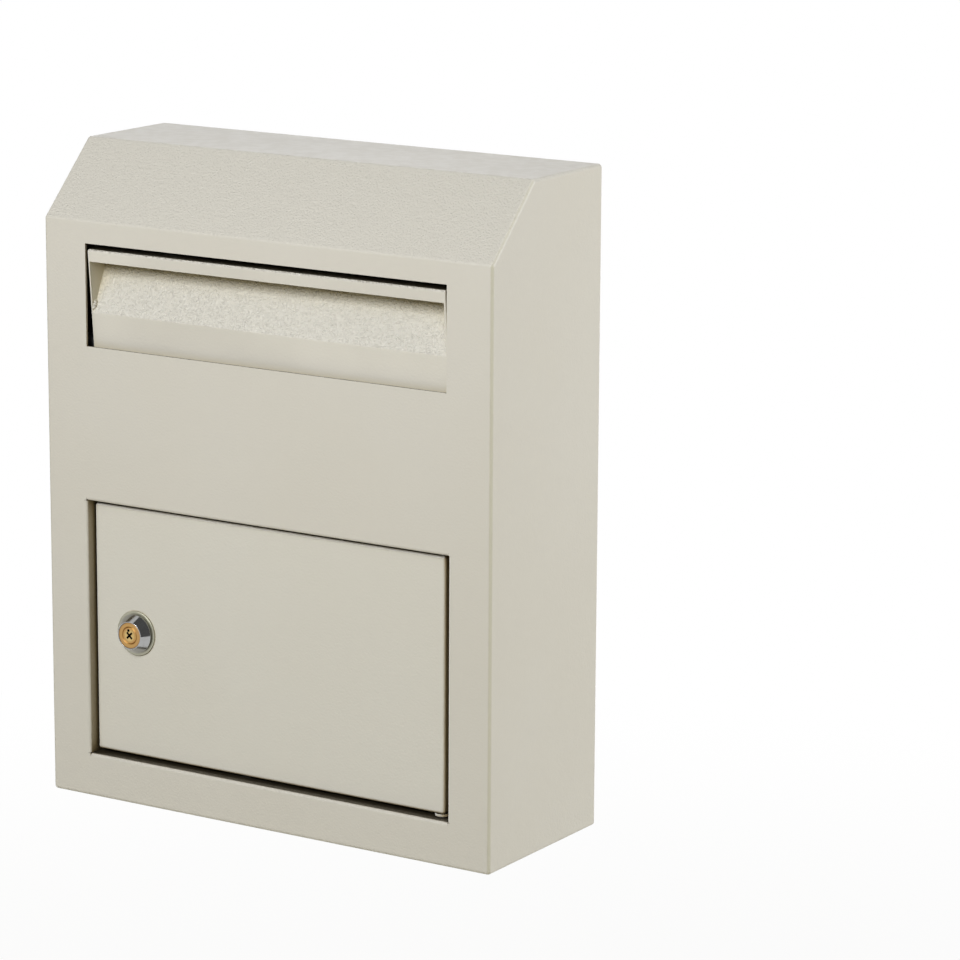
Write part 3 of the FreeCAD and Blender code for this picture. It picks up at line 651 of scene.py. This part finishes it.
def buildLockHousing(settings):
    bore, rear, end = settings["bore"], settings["rearBore"], settings["barrelEnd"]
    mouthDepth, mouthRound = settings["mouth"]
    crest, root = settings["thread"]
    front = softened([
        (bore, mouthDepth - lockProud, 0.0),
        (bore, -lockProud, mouthRound),
        (settings["coneTop"], -lockProud, settings["rimRound"]),
        (settings["coneBase"], settings["coneFoot"], settings["footRound"]),
        (settings["neck"], settings["coneFoot"], settings["neckRound"][0]),
        (settings["neck"], settings["bezelFront"], settings["neckRound"][1]),
        (settings["bezel"], settings["bezelFront"], settings["bezelRound"][0]),
        (settings["bezel"], 0.0, settings["bezelRound"][1]),
        (root - settings["seatInset"], 0.0, 0.0),
    ])
    front = heldStraights(front, settings["edgeHold"])
    pitch, turns = settings["pitch"], settings["turns"]
    phases = [(share, root + (crest - root) * height) for share, height in settings["threadForm"]]
    threadStart, threadStop = settings["threadEnds"][0], end - settings["threadEnds"][1]
    chamferAcross, chamferAlong = settings["rearChamfer"]
    wallFront = end - settings["rearWall"]
    rearRim = [(root, end - chamferAlong), (root - chamferAcross, end), (rear, end), (rear, wallFront),
               (bore, wallFront)]
    middle = Vector((lockAxis[0], doorFace, lockAxis[2]))
    shape = bmesh.new()

    def place(turn, radius, along):
        if along > 0.0:      # the barrel has two flats
            radius = min(radius, settings["flats"] / max(abs(math.cos(turn)), 1e-6))
        return shape.verts.new(middle + Vector((math.sin(turn) * radius, along, math.cos(turn) * radius)))

    rows = []
    for i in range(turns + 1):
        turn = 2 * math.pi * i / turns
        row = [place(turn, point[0], point[1]) for point in front]
        for step in range(-1, int(end / pitch) + 2):
            for phase, radius in phases:
                along = (step + phase + i / turns) * pitch
                held = min(max(along, threadStart), threadStop)
                row.append(place(turn, radius if held == along else root, held))
        row += [place(turn, radius, along) for radius, along in rearRim]
        rows.append(row)
    skinRows(shape, rows)

    inner, outer, halfAngle = settings["lug"]
    lugStart, lugEnd = end - settings["lugSink"], settings["lugEnd"]
    sides = []
    for k in range(settings["lugSteps"] + 1):
        turn = math.radians(halfAngle) * (2 * k / settings["lugSteps"] - 1)
        flatOuter = outer / math.cos(turn)
        corners = ((inner, lugStart), (flatOuter, lugStart), (flatOuter, lugEnd), (inner, lugEnd))
        sides.append([place(turn, radius, along) for radius, along in corners + corners[:1]])
    skinRows(shape, sides)
    for side in (sides[0], sides[-1]):
        shape.faces.new(side[:4])
    return newPiece("lockHousing", meshFromShape("lockHousing", shape), "door", "chrome", ["lock_housing"])


buildLockHousing(housingSettings)
print("lock housing turned")


# Weld beads in the corners where the hopper's scoop meets its cheeks

weldSettings = {
    "low": (-96.5 * mm, 164.9 * mm),      # along Y and Z, at the fold under the scoop
    "high": (-94.3 * mm, 169.6 * mm),
    "radius": 1.3 * mm,
    "ripple": 0.14,
    "ripples": 4.5,
    "lump": 0.12,
    "lumpScale": 900.0,
    "steps": 22,
    "sides": 14,
    "smoothAngle": 60.0,
}


def buildScoopWelds(settings):
    across = Vector((1.0, 0.0, 0.0))
    steps, sides = settings["steps"], settings["sides"]
    corners = {"Left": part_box("hopper_cheek_left")[1][0], "Right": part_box("hopper_cheek_right")[0][0]}
    for side, corner in corners.items():
        start, end = (Vector((corner, *settings[key])) for key in ("low", "high"))
        upright = (end - start).normalized().cross(across)
        shape = bmesh.new()
        rows = []
        for i in range(steps + 1):
            share = i / steps
            middle = start.lerp(end, share)
            rounding = max(1.0 - (2 * share - 1) ** 4, 0.0) ** 0.5
            wave = 1.0 + settings["ripple"] * math.sin(2 * math.pi * settings["ripples"] * share)
            radius = settings["radius"] * rounding * wave
            row = []
            for j in range(sides + 1):
                spot = j % sides
                turn = 2 * math.pi * spot / sides
                lump = noise.noise(middle * settings["lumpScale"] + Vector((0.0, 0.0, spot)))
                reach = radius * (1.0 + settings["lump"] * lump)
                row.append(shape.verts.new(middle + across * reach * math.cos(turn)
                                           + upright * reach * math.sin(turn)))
            rows.append(row)
        skinRows(shape, rows)
        newPiece("scoopWeld" + side, meshFromShape("scoopWeld" + side, shape), "hopper", "powder_coat",
                 finish=hopperLitCopyCoat, smoothAngle=settings["smoothAngle"])


buildScoopWelds(weldSettings)
print("scoop welds laid")


# Stage, lamps and camera

stageSettings = {
    "floorDrop": 0.30,       # how far the floor lies below the box, as the box hangs on a wall
    "floorSize": 6.0,
    "fadeStart": 0.5,
    "fadeEnd": 1.3,
    "whiteShare": 0.95,      # share of plain white that the camera sees near the box
    "floorTone": (0.52, 0.50, 0.38, 1.0),
    "roughness": 0.9,
    "specular": 0.1,
}


def buildFloor(settings):
    lowest = cadBox[0][2] - settings["floorDrop"]
    half = settings["floorSize"]
    mesh = bpy.data.meshes.new("floor")
    mesh.from_pydata([(-half, -half, lowest), (half, -half, lowest), (half, half, lowest),
                      (-half, half, lowest)], [], [(0, 1, 2, 3)])
    floor = bpy.data.objects.new("floor", mesh)
    bpy.context.collection.objects.link(floor)
    finish, tree, shader = newFinish("paleFloor")
    shader.inputs["Base Color"].default_value = settings["floorTone"]
    shader.inputs["Roughness"].default_value = settings["roughness"]
    shader.inputs["Specular IOR Level"].default_value = settings["specular"]
    coords = addNode(tree, "TexCoord").outputs["Object"]
    away = vectorCalc(tree, "LENGTH", vectorCalc(tree, "MULTIPLY", coords, (1.0, 1.0, 0.0)),
                      output="Value")
    fade = between(tree, away, settings["fadeStart"], settings["fadeEnd"], settings["whiteShare"], 1.0)
    rays = addNode(tree, "LightPath").outputs
    seen = calc(tree, "ADD", rays["Is Camera Ray"], rays["Is Glossy Ray"])
    seen = calc(tree, "ADD", seen, rays["Is Transmission Ray"], clamp=True)
    glow = addNode(tree, "Emission")
    glow.inputs["Strength"].default_value = 1.0
    faded = addNode(tree, "MixShader")
    feed(tree, faded.inputs[0], calc(tree, "MULTIPLY", fade, seen))
    tree.links.new(shader.outputs[0], faded.inputs[1])
    tree.links.new(glow.outputs[0], faded.inputs[2])
    clear = addNode(tree, "BsdfTransparent")
    oneSided = addNode(tree, "MixShader")
    feed(tree, oneSided.inputs[0], addNode(tree, "NewGeometry").outputs["Backfacing"])
    tree.links.new(faded.outputs[0], oneSided.inputs[1])
    tree.links.new(clear.outputs[0], oneSided.inputs[2])
    tree.links.new(oneSided.outputs[0], tree.nodes["Material Output"].inputs["Surface"])
    mesh.materials.append(finish)


flagSettings = {
    # black cloth strip from above the box down past the horizon on its right, seen by the gloss alone
    "radius": 1.15,
    "heading": 80.0,            # turn about +Z from straight in front of the box, in degrees
    "lean": (-11.0, 103.0),     # from straight up
    "width": 52.0,
    "steps": (14, 6),
    "tone": (0.012, 0.012, 0.012, 1.0),
    "glow": 0.13,
}


def buildFlag(settings):
    turn = math.radians(settings["heading"])
    heading = Vector((math.sin(turn), -math.cos(turn), 0.0))
    sideways = Vector((0.0, 0.0, 1.0)).cross(heading)
    first, last = (math.radians(value) for value in settings["lean"])
    half = math.radians(settings["width"]) / 2
    along, across = settings["steps"]
    shape = bmesh.new()
    rows = []
    for i in range(along + 1):
        lean = first + (last - first) * i / along
        middle = heading * math.sin(lean) + Vector((0.0, 0.0, math.cos(lean)))
        row = []
        for j in range(across + 1):
            offset = half * (2 * j / across - 1)
            row.append(shape.verts.new((middle * math.cos(offset) + sideways * math.sin(offset))
                                       * settings["radius"]))
        rows.append(row)
    skinRows(shape, rows)
    flag = bpy.data.objects.new("blackFlag", meshFromShape("blackFlag", shape))
    bpy.context.collection.objects.link(flag)
    finish, tree, shader = newFinish("blackCloth")
    shader.inputs["Base Color"].default_value = settings["tone"]
    shader.inputs["Roughness"].default_value = 1.0
    shader.inputs["Specular IOR Level"].default_value = 0.0
    shader.inputs["Emission Color"].default_value = (1.0, 1.0, 1.0, 1.0)
    shader.inputs["Emission Strength"].default_value = settings["glow"]
    flag.data.materials.append(finish)
    flag.visible_camera = False
    flag.visible_diffuse = False
    flag.visible_shadow = False


def buildWorld(level, tone):
    world = bpy.data.worlds.new("studio")
    world.use_nodes = True
    bpy.context.scene.world = world
    tree = world.node_tree
    background = tree.nodes["Background"]
    rays = addNode(tree, "LightPath").outputs
    seen = calc(tree, "ADD", rays["Is Camera Ray"], rays["Is Glossy Ray"])
    seen = calc(tree, "ADD", seen, rays["Is Transmission Ray"], clamp=True)
    feed(tree, background.inputs["Strength"], between(tree, seen, 0.0, 1.0, level, 1.0))
    feed(tree, background.inputs["Color"], mixColours(tree, seen, tone, (1.0, 1.0, 1.0, 1.0)))


lampSettings = {
    "keyMiddle": {"place": (0.0, -1.35, 0.85), "size": 0.6, "watts": 19.0},
    "keyLeft": {"place": (-0.70, -1.20, 0.90), "size": 0.6, "watts": 0.66},
    "rearLeft": {"place": (-0.85, 1.00, 0.90), "size": 0.7, "watts": 1.6},
    "rearRight": {"place": (1.40, 0.32, 0.48), "size": 0.8, "watts": 16.6},
    "keyRight": {"place": (0.55, -1.00, 1.15), "size": 0.6, "watts": 0.99},
}
lampTone = (0.985, 1.0, 1.03)
lampAim = Vector((0.0, -0.05, 0.08))
ambientSettings = {"level": 0.10, "tone": (1.0, 0.91, 0.74, 1.0)}


def buildLamps(settings):
    for name, lamp in settings.items():
        data = bpy.data.lights.new(name, "AREA")
        data.shape = "SQUARE"
        data.size = lamp["size"]
        data.energy = lamp["watts"]
        data.color = lampTone
        holder = bpy.data.objects.new(name, data)
        holder.location = lamp["place"]
        holder.rotation_euler = (lampAim - holder.location).to_track_quat("-Z", "Y").to_euler()
        bpy.context.collection.objects.link(holder)


cameraSettings = {
    "azimuth": 32.359,
    "elevation": 12.536,
    "roll": 0.320,
    "distance": 2.1013,
    "aim": (0.06506, 0.0, 0.07938),
    "focal": 154.46,
    "sensor": 36.0,
    "clip": (0.05, 20.0),
}


def buildCamera(settings):
    azimuth, elevation = math.radians(settings["azimuth"]), math.radians(settings["elevation"])
    away = Vector((math.sin(azimuth) * math.cos(elevation), -math.cos(azimuth) * math.cos(elevation),
                   math.sin(elevation)))
    data = bpy.data.cameras.new("camera")
    data.lens = settings["focal"]
    data.sensor_width = settings["sensor"]
    data.clip_start, data.clip_end = settings["clip"]
    camera = bpy.data.objects.new("camera", data)
    camera.location = Vector(settings["aim"]) + away * settings["distance"]
    camera.rotation_euler = (-away).to_track_quat("-Z", "Y").to_euler()
    camera.rotation_euler.rotate_axis("Z", math.radians(settings["roll"]))
    bpy.context.collection.objects.link(camera)
    bpy.context.scene.camera = camera


buildFloor(stageSettings)
buildFlag(flagSettings)
buildWorld(**ambientSettings)
buildLamps(lampSettings)
buildCamera(cameraSettings)
bpy.context.scene.view_settings.view_transform = "Standard"
print("stage, lamps and camera in place")
